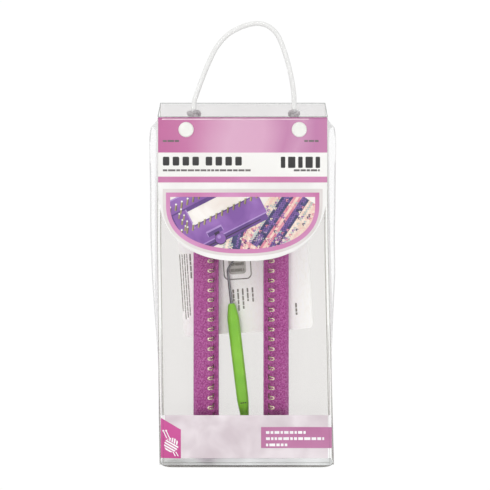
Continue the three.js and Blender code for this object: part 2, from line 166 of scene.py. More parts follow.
def sharp_below(obj, degrees):
    """Smooth shading, with edges sharper than that angle kept crisp."""
    work = bmesh.new()
    work.from_mesh(obj.data)
    for edge in work.edges:
        edge.smooth = len(edge.link_faces) == 2 and edge.calc_face_angle(0) < radians(degrees)
    for face in work.faces:
        face.smooth = True
    work.to_mesh(obj.data)
    work.free()
    return obj


def join_pieces(name, pieces):
    """One object out of several, with their materials."""
    work = bmesh.new()
    materials = []
    for piece in pieces:
        slots = []
        for material in piece.data.materials:
            if material not in materials:
                materials.append(material)
            slots.append(materials.index(material))
        before = len(work.faces)
        work.from_mesh(piece.data)
        work.faces.ensure_lookup_table()
        for face in work.faces[before:]:
            face.material_index = slots[face.material_index]
        bpy.data.objects.remove(piece)
    return finished(name, work, materials)


def ring(centre, radius, across, other, sides):
    """Points round a centre. radius is a number or a function of the angle."""
    return [centre + (radius(a) if callable(radius) else radius) * (cos(a) * across + sin(a) * other)
            for a in (2 * pi * j / sides for j in range(sides))]


def ring_faces(rows, count, closed_rows=False, caps=True):
    """Faces of a tube of rings of count points."""
    faces = []
    for row in range(rows if closed_rows else rows - 1):
        here, there = row * count, ((row + 1) % rows) * count
        for i in range(count):
            k = (i + 1) % count
            faces.append((here + i, here + k, there + k, there + i))
    if caps and not closed_rows:
        faces.append(tuple(range(count))[::-1])
        faces.append(tuple((rows - 1) * count + i for i in range(count)))
    return faces


def sweep(points, radius, sides, closed=False):
    """Rings round a line of points. radius is a number or a function of the share of the way along."""
    points = [Vector(p) for p in points]
    count = len(points)
    verts = []
    normal = None
    for i, point in enumerate(points):
        ahead = points[(i + 1) % count] if closed or i + 1 < count else point
        behind = points[i - 1] if closed or i > 0 else point
        along = (ahead - behind).normalized()
        if normal is None:
            normal = along.orthogonal()
        normal = (normal - along * normal.dot(along)).normalized()
        thick = radius(i / max(1, count - 1)) if callable(radius) else radius
        verts += ring(point, thick, normal, along.cross(normal), sides)
    return verts, ring_faces(count, sides, closed_rows=closed)


def tube(name, points, radius, material, sides, closed=False):
    return make(name, *sweep(points, radius, sides, closed), material)


def lathe(name, profile, place, axis, material, sides, flutes=lambda angle, height: 1):
    """A turned solid. profile is (radius, height) in mm, heights measured along axis from place. flutes gives
    the share of the radius that stands."""
    axis = Vector(axis).normalized()
    across = axis.orthogonal().normalized()
    other = axis.cross(across)
    verts, rings, faces = [], [], []
    for radius, height in profile:
        centre = Vector(place) + axis * height * MM
        points = [centre]
        if radius:
            points = ring(centre, lambda a: radius * flutes(a, height) * MM, across, other, sides)
        rings.append(list(range(len(verts), len(verts) + len(points))))
        verts += points
    for low, high in zip(rings, rings[1:]):
        for j in range(sides):
            k = (j + 1) % sides
            if len(low) == 1:
                faces.append((low[0], high[k], high[j]))
            elif len(high) == 1:
                faces.append((low[j], low[k], high[0]))
            else:
                faces.append((low[j], low[k], high[k], high[j]))
    return make(name, verts, faces, material)


def soft_clone(source, name, material, bevel, segments):
    """A CAD node's shape with its flat faces made whole and its edges rounded, as moulded plastic is."""
    work = bmesh.new()
    work.from_mesh(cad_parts[source].data)
    bmesh.ops.remove_doubles(work, verts=work.verts, dist=0.005 * MM)
    bmesh.ops.dissolve_limit(work, angle_limit=radians(1), verts=work.verts, edges=work.edges)
    for face in work.faces:
        face.material_index = 0
    obj = finished(name, work, [material])
    rounding = obj.modifiers.new("rounding", "BEVEL")
    rounding.width = bevel * MM
    rounding.segments = segments
    rounding.limit_method = "ANGLE"
    rounding.angle_limit = radians(35)
    rounding.use_clamp_overlap = True
    return sharp_below(bake_modifiers(obj), 40)


def askew(height):
    """How far, mm, the slack pouch leans at a height: its foot to the right, its shoulder to the left."""
    return max(-1.0, 2.2 - 0.018 * height)


def settle(obj, body, slot, *nodes):
    if body in ("pouch", "shoulder", "flap") and not obj.name.startswith(("band_", "knot_")):
        for vertex in obj.data.vertices:
            vertex.co.x += askew(vertex.co.z / MM) * MM
    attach(obj, body)
    if nodes:
        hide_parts(*nodes)
    return obj


# ---- outlines in X and Z, mm ----
def heading(degrees):
    """A direction in the plane, and the one a quarter turn on from it."""
    along = Vector((cos(radians(degrees)), sin(radians(degrees))))
    return along, Vector((-along.y, along.x))


def superellipse(half_width, top, bottom, curve, straight_to, steps=72):
    """A panel with straight sides from top down to straight_to and a full round end at bottom."""
    points = [(half_width, top), (-half_width, top)]
    for i in range(steps + 1):
        angle = pi + pi * i / steps
        across, down = cos(angle), sin(angle)
        points.append((half_width * copysign(abs(across) ** (2 / curve), across),
                       straight_to - (straight_to - bottom) * abs(down) ** (2 / curve)))
    return points


def rounded_box(x0, x1, z0, z1, radius, steps=5):
    """Counter-clockwise, corners rounded."""
    points = []
    for cx, cz, start in ((x1 - radius, z1 - radius, 0), (x0 + radius, z1 - radius, 90),
                          (x0 + radius, z0 + radius, 180), (x1 - radius, z0 + radius, 270)):
        for i in range(steps + 1):
            angle = radians(start + 90 * i / steps)
            points.append((cx + radius * cos(angle), cz + radius * sin(angle)))
    return points


def rectangle(x0, x1, z0, z1):
    return [(x0, z0), (x1, z0), (x1, z1), (x0, z1)]


def disc(x, z, radius, steps=24):
    angles = [2 * pi * i / steps for i in range(steps)]
    return [(x + radius * cos(a), z + radius * sin(a)) for a in angles]


def turned_bar(centre, direction, length, width):
    """A bar's four corners, counter-clockwise."""
    along = Vector(direction).normalized()
    across = Vector((-along.y, along.x))
    centre = Vector(centre)
    return [tuple(centre + along * a * length / 2 + across * b * width / 2)
            for a, b in ((-1, -1), (1, -1), (1, 1), (-1, 1))]


def clip(polygon, convex):
    """The part of polygon inside a convex counter-clockwise outline."""
    result = list(polygon)
    for (ax, az), (bx, bz) in zip(convex, convex[1:] + convex[:1]):
        if abs(ax - bx) + abs(az - bz) < 1e-9:
            continue
        kept = []
        reach = [(bx - ax) * (z - az) - (bz - az) * (x - ax) for x, z in result]
        for p, q, dp, dq in zip(result, result[1:] + result[:1], reach, reach[1:] + reach[:1]):
            if dp >= -1e-9:
                kept.append(p)
            if (dp >= -1e-9) != (dq >= -1e-9):
                t = dp / (dp - dq)
                kept.append((p[0] + t * (q[0] - p[0]), p[1] + t * (q[1] - p[1])))
        result = kept
        if not result:
            return []
    return result


def printed(name, patches, depth_at, lift, materials, thick=0.05, longest=6.0):
    """Ink on a film: thin plates cut to outlines, laid on the surface that depth_at(x, z) gives in mm.
    patches is a list of (outline, material index)."""
    work = bmesh.new()
    for points, index in patches:
        if len(points) > 2:
            work.faces.new([work.verts.new((x, 0, z)) for x, z in points]).material_index = index
    cut_long_edges(work, longest)
    bmesh.ops.recalc_face_normals(work, faces=work.faces)
    for face in work.faces:
        if face.normal.y > 0:
            face.normal_flip()
    front = {v: depth_at(v.co.x, v.co.z) - lift for v in work.verts}
    extruded = bmesh.ops.extrude_face_region(work, geom=list(work.faces))
    for v in extruded["geom"]:
        if isinstance(v, bmesh.types.BMVert):
            v.co.y = depth_at(v.co.x, v.co.z) - lift - thick
    for v, y in front.items():
        if v.is_valid:
            v.co.y = y
    bmesh.ops.recalc_face_normals(work, faces=work.faces)
    for v in work.verts:
        v.co *= MM
    return finished(name, work, materials)


def cut_long_edges(work, longest):
    """Splits faces until no edge is long, so that a print can follow its film."""
    for _ in range(6):
        bmesh.ops.triangulate(work, faces=[f for f in work.faces if len(f.verts) > 4])
        long_ones = [e for e in work.edges if e.calc_length() > longest]
        if not long_ones:
            return
        bmesh.ops.subdivide_edges(work, edges=long_ones, cuts=1, use_grid_fill=True)
    bmesh.ops.triangulate(work, faces=[f for f in work.faces if len(f.verts) > 4])


# ---- materials ----
def srgb(text):
    """Linear colour from a hex colour."""
    values = [int(text[i:i + 2], 16) / 255 for i in (0, 2, 4)]
    return tuple(v / 12.92 if v <= 0.04045 else ((v + 0.055) / 1.055) ** 2.4 for v in values) + (1,)


def new_material(name, base="ffffff", rough=0.5, **sockets):
    material = bpy.data.materials.new(name)
    material.use_nodes = True
    set_socket(material, "Base Color", srgb(base))
    set_socket(material, "Roughness", rough)
    for socket, value in sockets.items():
        set_socket(material, socket.replace("_", " "), value)
    return material


def shader_of(material):
    return material.node_tree.nodes["Principled BSDF"]


def set_socket(material, socket, value):
    shader_of(material).inputs[socket].default_value = value


def node(owner, kind, **inputs):
    """A new node in the tree of a material or a world."""
    made = owner.node_tree.nodes.new(kind)
    for name, value in inputs.items():
        made.inputs[name.replace("_", " ")].default_value = value
    return made


def link(owner, source, target):
    owner.node_tree.links.new(source, target)


def sums(owner, operation, *terms):
    """The result of a sum whose terms are numbers or the outputs of other nodes."""
    made = node(owner, "ShaderNodeMath")
    made.operation = operation
    for i, term in enumerate(terms):
        if isinstance(term, (int, float)):
            made.inputs[i].default_value = term
        else:
            link(owner, term, made.inputs[i])
    return made.outputs[0]


def mixed(owner, share, first, second, output="Material Output"):
    """Two shaders mixed by share, as the surface of a material or a world."""
    mix = node(owner, "ShaderNodeMixShader")
    for i, source in enumerate((share, first, second)):
        link(owner, source, mix.inputs[i])
    link(owner, mix.outputs["Shader"], owner.node_tree.nodes[output].inputs["Surface"])


def pattern(material, kind="ShaderNodeTexNoise", output="Fac", stretch=(1, 1, 1), **inputs):
    """A noise or cell pattern in object space, where one unit is a metre."""
    scaled = node(material, "ShaderNodeMapping", Scale=stretch)
    made = node(material, kind, **inputs)
    link(material, node(material, "ShaderNodeTexCoord").outputs["Object"], scaled.inputs["Vector"])
    link(material, scaled.outputs["Vector"], made.inputs["Vector"])
    return made.outputs[output]


def ramp(owner, source, stops, target=None):
    """Colours or grey levels by position, as the shader's target socket where one is named."""
    made = node(owner, "ShaderNodeValToRGB")
    made.color_ramp.elements[0].position, made.color_ramp.elements[1].position = stops[0][0], stops[-1][0]
    for position, _ in stops[1:-1]:
        made.color_ramp.elements.new(position)
    for element, (_, colour) in zip(made.color_ramp.elements, stops):
        element.color = srgb(colour) if isinstance(colour, str) else (colour, colour, colour, 1)
    link(owner, source, made.inputs["Fac"])
    if target:
        link(owner, made.outputs["Color"], shader_of(owner).inputs[target])
    return made.outputs["Color"]


def bump(material, source, strength, distance):
    made = node(material, "ShaderNodeBump", Strength=strength, Distance=distance)
    link(material, source, made.inputs["Height"])
    link(material, made.outputs["Normal"], shader_of(material).inputs["Normal"])


def floor_white():
    """Pure white to the camera, a soft grey-white bounce to everything else."""
    material = new_material("studio_white", "e4e4e4", 0.9)
    ramp(material, pattern(material, Scale=400.0), [(0.3, "dedede"), (0.7, "e4e4e4")], "Base Color")
    glow = node(material, "ShaderNodeEmission", Strength=1.02)
    white_when_seen(material, shader_of(material).outputs["BSDF"], glow.outputs["Emission"])
    return material


def clear_vinyl(name, tint, haze, gloss=0.08, milk="efeeed", mirror=0.06, upright=0.5):
    """Clear film: a tinted see-through sheet, mirrored by angle, with a little milky haze."""
    material = new_material(name, milk, gloss, IOR=1.53)
    through = node(material, "ShaderNodeBsdfTransparent", Color=srgb(tint))
    edge = node(material, "ShaderNodeLayerWeight", Blend=mirror)
    waves = pattern(material, stretch=(1, 1, upright), Scale=26.0, Detail=2.0)
    cloud = ramp(material, waves, [(0.35, haze * 0.5), (0.7, haze * 1.5)])
    total = sums(material, "ADD", edge.outputs["Fresnel"], cloud)
    total.node.use_clamp = True
    mixed(material, total, through.outputs["BSDF"], shader_of(material).outputs["BSDF"])
    bump(material, waves, 0.25, 0.4 * MM)
    return material


def glitter_plastic(name, dark, middle, light):
    """Moulded plastic full of fine glitter: a mottled colour with bright flecks and a stipple."""
    material = new_material(name, middle, 0.38, Specular_IOR_Level=0.3)
    flecks = pattern(material, "ShaderNodeTexVoronoi", "Distance", Scale=1500.0)
    cloud = pattern(material, Scale=800.0, Detail=3.0, Roughness=0.7)
    mix = node(material, "ShaderNodeMix")
    mix.data_type = "RGBA"
    mix.inputs["Factor"].default_value = 0.35
    link(material, ramp(material, cloud, [(0.36, dark), (0.5, middle), (0.64, light)]), mix.inputs["A"])
    link(material, ramp(material, flecks, [(0.10, light), (0.22, middle)]), mix.inputs["B"])
    link(material, mix.outputs["Result"], shader_of(material).inputs["Base Color"])
    ramp(material, cloud, [(0.35, 0.24), (0.65, 0.5)], "Roughness")
    bump(material, cloud, 0.5, 0.12 * MM)
    return material


def mottled(name, tones, rough, grain, relief=None, stretch=(1, 1, 1), **sockets):
    """A surface whose tone follows a noise with the settings grain. relief is its bump's (strength, mm)."""
    material = new_material(name, tones[-1][1], rough, **sockets)
    drift = pattern(material, stretch=stretch, **grain)
    ramp(material, drift, tones, "Base Color")
    if relief:
        bump(material, drift, relief[0], relief[1] * MM)
    return material, drift


def moulded(name, dark, middle, light, rough, scale=60.0):
    """Smooth moulded plastic with slow colour drift and a faint orange peel."""
    tones = [(0.3, dark), (0.5, middle), (0.7, light)]
    material, _ = mottled(name, tones, rough, dict(Scale=scale, Detail=2.0), Coat_Weight=0.3,
                          Coat_Roughness=0.15)
    bump(material, pattern(material, Scale=1800.0, Detail=1.0), 0.12, 0.05 * MM)
    return material


def metal(name, dark, light, rough, stretch=(1, 1, 1)):
    material, lines = mottled(name, [(0.3, dark), (0.7, light)], rough, dict(Scale=900.0, Detail=2.0),
                              (0.1, 0.02), stretch, Metallic=1.0)
    ramp(material, lines, [(0.3, rough * 0.7), (0.7, rough * 1.5)], "Roughness")
    return material


def ink(name, dark, light, scale, rough=0.3):
    """Printed colour under the film's gloss, uneven where the film's reflections change."""
    return mottled(name, [(0.34, dark), (0.66, light)], rough, dict(Scale=scale, Detail=2.5, Distortion=0.4),
                   Coat_Weight=0.5, Coat_Roughness=0.12)[0]


def ink_painted_light_across(name, half_width, stops):
    """Printed colour with painted light on it: its tone changes from left to right as a painted highlight and
    painted fold shade on slack film, its steps bent as in slack film.
    """
    material = new_material(name, stops[-1][1], 0.24, Coat_Weight=0.5, Coat_Roughness=0.12)
    parts = node(material, "ShaderNodeSeparateXYZ")
    link(material, node(material, "ShaderNodeTexCoord").outputs["Object"], parts.inputs["Vector"])
    share = sums(material, "MULTIPLY_ADD", parts.outputs["X"], 0.5 / half_width, 0.5)
    bent = sums(material, "MULTIPLY_ADD", pattern(material, Scale=16.0, Detail=1.5), 0.4, share)
    ramp(material, sums(material, "ADD", bent, -0.2), stops, "Base Color")
    return material


def braid(name, dark, light):
    return mottled(name, [(0.3, dark), (0.7, light)], 0.85, dict(Scale=2200.0, Detail=3.0), (0.4, 0.15),
                   Sheen_Weight=0.3)[0]


# ---- pouch ----
front_low, front_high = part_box("pouch_front_panel")
back_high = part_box("pouch_back_panel")[1]
base_low, base_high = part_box("pouch_base")
flap_low, flap_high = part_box("flap_panel")
cap_low, cap_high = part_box("snap_cap_right")
FILM, CLEAR_FILM, GUSSET_FILM = 0.5, 0.4, 0.35  # thickness of the sheets, mm
FOOT_RISE = 2.7  # height of the turned-up edge of the base
FOLD_DEPTH = 6  # Y of the fold in the gussets
SLACK_HALF, SLACK_RISE = 66, 30  # half width of the slack film, and how far from a weld it is slack
FRONT = front_low.y / MM
BACK = back_high.y / MM
MOUTH_HALF = flap_high.x / MM
FOOT_HALF = front_high.x / MM
FRONT_TOP = front_high.z / MM
BACK_HALF = back_high.x / MM
BACK_TOP = back_high.z / MM
FLAP_TOP = flap_high.z / MM
FLAP_BOTTOM = flap_low.z / MM
FLAP_FRONT = flap_low.y / MM
SNAP_X = (cap_low.x + cap_high.x) / 2 / MM
SNAP_Z = (cap_low.z + cap_high.z) / 2 / MM


def front_half(z):
    return FOOT_HALF + (MOUTH_HALF - FOOT_HALF) * min(1, z / FRONT_TOP)


def slack(x, height):
    """How free the film is, 0 at its welds and 1 in the middle. height is from the weld above or below."""
    return max(0.0, 1 - (x / SLACK_HALF) ** 4) * max(0.0, min(1, height / SLACK_RISE))


def front_depth(x, z):
    """Outer face of the front panel, mm: flat at its welds and slack between them."""
    return FRONT + slack(x, min(z, FRONT_TOP - z)) * 0.7 * noise.noise(Vector((x * 0.02, 3.1, z * 0.014)))


def back_depth(x, z):
    return BACK - FILM + slack(x, z) * 0.5 * noise.noise(Vector((x * 0.02, 9.7, z * 0.012)))


def flap_depth(x, z):
    """Outer face of the flap, mm: held flat by its crease and snaps, a little lifted at its lower end."""
    held = SNAP_Z - 12
    free = max(0.0, (held - z) / (held - FLAP_BOTTOM))
    wave = noise.noise(Vector((x * 0.025, 5.3, z * 0.03)))
    return FLAP_FRONT - 0.7 * free ** 1.6 + 0.35 * min(1, 3 * free) * wave


def grid_faces(rows, count):
    """Faces of a sheet of rows of count points."""
    return [(a, a + 1, a + count + 1, a + count)
            for a in (r * count + i for r in range(rows - 1) for i in range(count - 1))]


def film_sheet(name, across, rows, depth_at, half_at, high, material, corner=0.0):
    """A sheet from FOOT_RISE to high, its half width and depth functions, its lower corners rounded."""
    verts = []
    for r in range(rows + 1):
        up = (high - FOOT_RISE) * r / rows
        z = FOOT_RISE + up
        half = half_at(z)
        if up < corner:
            half -= corner - sqrt(max(0.0, corner ** 2 - (corner - up) ** 2))
        for c in range(across + 1):
            x = half * (2 * c / across - 1)
            verts.append((x * MM, depth_at(x, z) * MM, z * MM))
    return thickened(make(name, verts, grid_faces(rows + 1, across + 1), material), CLEAR_FILM, -1, 50)


def between(table, place):
    """The value at a place, on straight lines between the rows of a sorted table of (place, value)."""
    for (a, low), (b, high) in zip(table, table[1:]):
        if place <= b:
            return low + (high - low) * (place - a) / (b - a)
    return table[-1][1]


def gusset_sheet(side, name, material):
    """The side wall, folded outwards along its middle: its fold's lean is read from the CAD solid."""
    levels = {}
    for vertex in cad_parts[name].data.vertices:
        z = round(vertex.co.z / MM, 2)
        levels[z] = max(levels.get(z, 0), abs(vertex.co.x) / MM)
    folds = sorted(levels.items())
    rows, leaf = 64, 8
    verts = []
    for r in range(rows + 1):
        z = FOOT_RISE + (folds[-1][0] - FOOT_RISE) * r / rows
        fold = between(folds, z) - 0.25 + 0.25 * noise.noise(Vector((side, 0, z * 0.03)))
        front, back = front_half(z) + 0.45, BACK_HALF + 0.55
        for i in range(2 * leaf + 1):
            if i <= leaf:
                s = i / leaf
                x = front + (fold - front) * s - 0.7 * sin(pi * s) * min(1, (fold - front) / 4)
                y = FRONT + (FOLD_DEPTH - FRONT) * s
            else:
                s = (i - leaf) / leaf
                x = fold + (back - fold) * s - 0.5 * sin(pi * s)
                y = FOLD_DEPTH + (BACK - FOLD_DEPTH) * s
            x += 0.25 * noise.noise(Vector((side * 4.0, y * 0.05, z * 0.02)))
            verts.append((side * x * MM, y * MM, z * MM))
    sheet = make(name.replace("pouch_", "") + "_film", verts, grid_faces(rows + 1, 2 * leaf + 1), material)
    return thickened(sheet, GUSSET_FILM, 0, 60)


def base_outline(inset, radius, depth_inset=0.0):
    return rounded_box(base_low.x / MM + inset, base_high.x / MM - inset,
                       FRONT + inset + depth_inset, BACK - inset, radius)


def base_tray(material):
    """The base sheet, flat in the middle and turned up all round to meet the walls."""
    verts = []
    steps = 7
    for i in range(steps + 1):
        turn = pi / 2 * i / steps
        outline = base_outline(0.3 + FOOT_RISE * 2 * (1 - cos(turn)), 7)
        verts += [(x * MM, y * MM, (0.05 + FOOT_RISE * (1 - sin(turn))) * MM) for x, y in outline]
    count = len(outline)
    faces = ring_faces(steps + 1, count, caps=False) + [tuple(range(steps * count, (steps + 1) * count))]
    return thickened(make("base_film", verts, faces, material), CLEAR_FILM, -1, 60)


def weld_line(name, points, radius, material, closed=False):
    line = tube(name, [Vector(p) * MM for p in points], radius * MM, material, sides=8, closed=closed)
    return settle(line, "pouch", "clear_film")


def smoothed(points, steps):
    """Points along a smooth curve through the given ones."""
    points = [Vector(p) for p in points]
    padded = [2 * points[0] - points[1], *points, 2 * points[-1] - points[-2]]
    result = []
    for a, b, c, d in zip(padded, padded[1:], padded[2:], padded[3:]):
        for i in range(steps):
            t = i / steps
            result.append(0.5 * (2 * b + (c - a) * t + (2 * a - 5 * b + 4 * c - d) * t ** 2
                                 + (3 * b - a - 3 * c + d) * t ** 3))
    return result + [points[-1]]


def add_pouch():
    film = clear_vinyl("clear_film", "fefefd", 0.008)
    back_film = clear_vinyl("back_film", "f4f3f3", 0.06, upright=0.1)
    weld = clear_vinyl("film_edge", "e2e2df", 0.06, gloss=0.15, mirror=0.04)
    frosty = clear_vinyl("gusset_film", "fefefe", 0.012, gloss=0.2, milk="ffffff", mirror=0.022)
    front = film_sheet("front_film", 36, 72, front_depth, front_half, FRONT_TOP, film, corner=4)
    settle(front, "pouch", "clear_film", "pouch_front_panel")
    back = film_sheet("back_film", 30, 60, back_depth, lambda z: BACK_HALF, BACK_TOP, back_film)
    settle(back, "pouch", "clear_film", "pouch_back_panel")
    settle(base_tray(weld), "pouch", "clear_film", "pouch_base")
    levels = [FOOT_RISE + 0.8, 20, 45, 87, 130, 170, 210, 245, FRONT_TOP]
    for name, side in SIDES:
        sheet = gusset_sheet(side, f"pouch_gusset_{name}", frosty)
        settle(sheet, "pouch", "clear_film", f"pouch_gusset_{name}")
        outer = [(side * front_half(z), FRONT + 0.1, z) for z in levels]
        inner = [(x, front_depth(x, z) - 0.05, z)
                 for x, z in ((side * (front_half(z) - 2.6), z) for z in levels)]
        rear = [(side * (BACK_HALF + 0.2), BACK - 0.3, z) for z in levels + [BACK_TOP]]
        for seam, points, radius in (("front_weld", outer, 0.3), ("front_weld_inner", inner, 0.22),
                                     ("back_weld", rear, 0.3)):
            weld_line(f"{seam}_{name}", smoothed(points, 4), radius, weld)
    foot = [(x, y, FOOT_RISE) for x, y in base_outline(0.6, 5, depth_inset=-0.05)]
    weld_line("base_weld", foot, 0.35, weld, closed=True)
    upper = [(x, front_depth(x, 4.9) - 0.05, 4.9) for x in range(-64, 65, 4)]
    weld_line("base_weld_upper", upper, 0.25, weld)
    milky = clear_vinyl("seam_film", "f2f3f3", 0.5, gloss=0.12, milk="fbfdfd")
    flange = rounded_box(-FOOT_HALF + 0.6, FOOT_HALF - 0.6, FOOT_RISE + 0.2, 8.3, 2.2)
    pouch_print("base_flange", [(flange, 0)], 0.04, milky)
    mouth = [(x, front_depth(x, FRONT_TOP) + 0.2, FRONT_TOP) for x in range(-65, 66, 5)]
    weld_line("mouth_edge", mouth, 0.3, weld)


# ---- lower printed band ----
BAND_LOW, BAND_HIGH = 8.4, 41.6


def pouch_print(name, patches, lift, *inks):
    return settle(printed(name, patches, front_depth, lift, inks), "pouch", "clear_film")


def add_band():
    half = FOOT_HALF - 1.4
    left, right = askew(BAND_LOW) - half, askew(BAND_LOW) + half
    marbled = ink("band_marble", "d3c6cc", "ece3e7", 45.0, 0.35)
    magenta = ink("band_magenta", "c03c88", "ce4e9a", 30.0)
    rose = ink("band_rose", "b26394", "bf78a4", 26.0)
    white = ink("band_white", "f4f1f3", "ffffff", 40.0)
    pouch_print("band_print", [(rectangle(left, right - 2.6, BAND_LOW, BAND_HIGH), 0)], 0.05, marbled)
    badge = [(1.2 - half, BAND_LOW + 0.2), (16.7 - half, BAND_LOW - 0.2),
             (16.7 - half, 30.4), (1.2 - half, 39.6)]
    box = rectangle(13.2, right + 0.4, 16.2, 32.4)
    margins = [rounded_box(1 - half, 4.2 - half, 34, BAND_HIGH, 0.2, 1),
               rounded_box(right - 2.6, right, BAND_LOW, BAND_HIGH, 0.2, 1)]
    pouch_print("band_margins", [(m, 0) for m in margins], 0.11, white)
    pouch_print("band_panels", [(badge, 0), (box, 1)], 0.17, magenta, rose)
    marks = [block for z, length in ((27.2, 32), (22.4, 45), (17.6, 17))
             for block in greeked(17.0, z, length, 2.1, 2.6)]
    pouch_print("band_lines", [(m, 0) for m in marks + yarn_ball(9.4 - half, 18.6, 5.6)], 0.23, white)


def greeked(x, z, length, height, word):
    """A line of words as plain blocks of uneven length, from x to the right at height z."""
    blocks = []
    end = x + length
    while x < end - 0.8:
        size = min(end - x, word * random.uniform(0.6, 1.9))
        blocks.append(rectangle(x, x + size, z, z + height))
        x += size + height * 0.45
    return blocks


def yarn_ball(x, z, radius):
    """A pictogram of a ball of yarn with two needles: strands as bars cut to a round outline."""
    centre = Vector((x, z))
    scale = radius / 5.6
    circle = disc(x, z, radius, 28)
    slope, upwards = heading(-30)
    upper = clip(circle, turned_bar(centre + upwards * (2.1 * scale + radius), slope, 4 * radius, 2 * radius))
    shapes = []
    for turn, first, count, outline in ((80, -3.9, 5, upper), (-30, -4.7, 4, circle)):
        direction, across = heading(turn)
        for i in range(count):
            strand = turned_bar(centre + across * (first + i * 1.9) * scale, direction, 2.4 * radius, 1.15)
            shapes.append(clip(strand, outline))
    needle, side = Vector((-0.42, 0.91)), Vector((0.3, 0.14))
    for lean in (0.0, 2.2):
        for near, far in ((radius + 0.2, radius + 6.5), (-radius - 4.5, -radius - 0.2)):
            foot, tip = (Vector((x - 1.2 + lean, z)) + needle * reach for reach in (near, far))
            foot.y = max(foot.y, z - 8.6)
            shapes.append([tuple(p) for p in (foot - side, foot + side, tip + side, tip - side)])
            if near > 0:
                shapes.append(disc(tip.x, tip.y, 0.75, 12))
    return shapes


# ---- shoulder strip, flap, snaps ----
BACK_CREASE_Z, FRONT_CREASE_Z = 289, 272


def add_shoulder():
    frost = clear_vinyl("shoulder_film", "ffffff", 0.014, gloss=0.25, milk="ffffff", mirror=0.03)
    edge = clear_vinyl("shoulder_edge", "e4e5e4", 0.12, gloss=0.2, milk="f4f4f4", mirror=0.04)
    strip = soft_clone("shoulder_strip", "shoulder_film", frost, 0.1, 1)
    settle(strip, "shoulder", "frosted_film", "shoulder_strip")
    back = [Vector((x, BACK, BACK_CREASE_Z)) * MM for x in (-BACK_HALF, BACK_HALF)]
    front = [Vector((x, FLAP_FRONT, FRONT_CREASE_Z)) * MM for x in (-MOUTH_HALF, MOUTH_HALF)]
    for name, (start, end), count, radius, sides in (
            ("back_crease", back, 28, 0.5, 12), ("front_crease", front, 28, 0.5, 12),
            ("strip_edge_left", (back[0], front[0]), 8, 0.35, 8),
            ("strip_edge_right", (back[1], front[1]), 8, 0.35, 8)):
        points = [start.lerp(end, i / count) for i in range(count + 1)]
        settle(tube(name, points, radius * MM, edge, sides), "shoulder", "frosted_film")


def flap_print(name, patches, lift, *inks):
    return settle(printed(name, patches, flap_depth, lift, inks), "flap", "printed_film")


WHITE_BAND_TOP, WHITE_BAND_FOOT, STRIPE_FOOT = 244.4, 225.9, 221.4


def add_flap():
    frosted = ink("flap_frost", "ebe9e7", "f8f7f5", 30.0, 0.32)
    # The pink band's tone from left to right is painted light: lighter in the middle as a painted highlight,
    # and darker steps near 0.7 and 0.86 as painted shade along a fold by the right snap.
    pink = ink_painted_light_across("flap_pink_painted_light", MOUTH_HALF * MM, [
        (0.0, "c0659a"), (0.16, "c674a4"), (0.42, "dcaac7"), (0.6, "dba6c5"), (0.7, "c583ae"),
        (0.77, "cf95ba"), (0.86, "c27cab"), (1.0, "c880ab")])
    white = ink("flap_white", "f1f0ec", "faf9f6", 12.0, 0.3)
    stripe = ink("flap_stripe", "c4709e", "cf86b2", 24.0)
    outline = superellipse(MOUTH_HALF, FLAP_TOP, FLAP_BOTTOM, 2.45, 221)
    body = printed("flap_film", [(outline, 0)], flap_depth, -FILM, [frosted], thick=FILM)
    settle(sharp_below(body, 50), "flap", "printed_film", "flap_panel")
    half = MOUTH_HALF - 0.15
    heights = (FLAP_TOP, WHITE_BAND_TOP, WHITE_BAND_FOOT, STRIPE_FOOT)
    bands = [(rectangle(-half, half, low, high), i)
             for i, (high, low) in enumerate(zip(heights, heights[1:]))]
    flap_print("flap_bands", bands, 0.06, pink, white, stripe)
    # Painted light along the crease: the dark line at the flap's top edge is painted shade, and the pale line
    # just below it is a painted highlight.
    painted_crease_shade = ink("crease_shade", "9c4480", "b05f92", 40.0)
    shine = ink("crease_shine", "e2b4cc", "f4dde8", 60.0)
    lines = [(rounded_box(-half, half, FLAP_TOP - 0.9, FLAP_TOP - 0.1, 0.2, 2), 0),
             (rounded_box(-half + 3, half - 14, FLAP_TOP - 1.9, FLAP_TOP - 1.1, 0.35, 2), 1)]
    flap_print("flap_crease_lines", lines, 0.12, painted_crease_shade, shine)
    add_flap_marks()
    add_flap_picture()
    add_snaps()


def add_snaps():
    plastic = moulded("snap_plastic", "e9eae4", "f3f4ee", "fafbf6", 0.3)
    dome = [(0, 2.0), (1.6, 1.97), (2.9, 1.85), (4.1, 1.55), (4.5, 1.42), (4.8, 1.45), (5.3, 1.2),
            (5.75, 0.7), (5.9, 0.3), (5.9, 0.0), (3.2, -0.1), (2.7, -0.2), (2.7, -0.9), (4.5, -0.9),
            (4.5, -1.5), (1.8, -1.5), (1.8, -0.3), (0, -0.3)]
    post = [(0, 1.8), (1.0, 1.8), (1.3, 1.5), (1.3, 0.3), (1.6, 0.2), (1.6, -0.8), (4.5, -0.8),
            (4.2, -1.4), (0, -1.6)]
    for name, side in SIDES:
        for piece, profile, depth, sides, body, cad in (
                ("snap_cap_dome", dome, FLAP_FRONT - 0.1, 48, "flap", "snap_cap"),
                ("snap_post", post, FRONT, 32, "pouch", "snap_stud")):
            place = Vector((side * SNAP_X, depth, SNAP_Z)) * MM
            turned = lathe(f"{piece}_{name}", profile, place, OUT_FRONT, plastic, sides)
            settle(turned, body, "snap_plastic", f"{cad}_{name}")


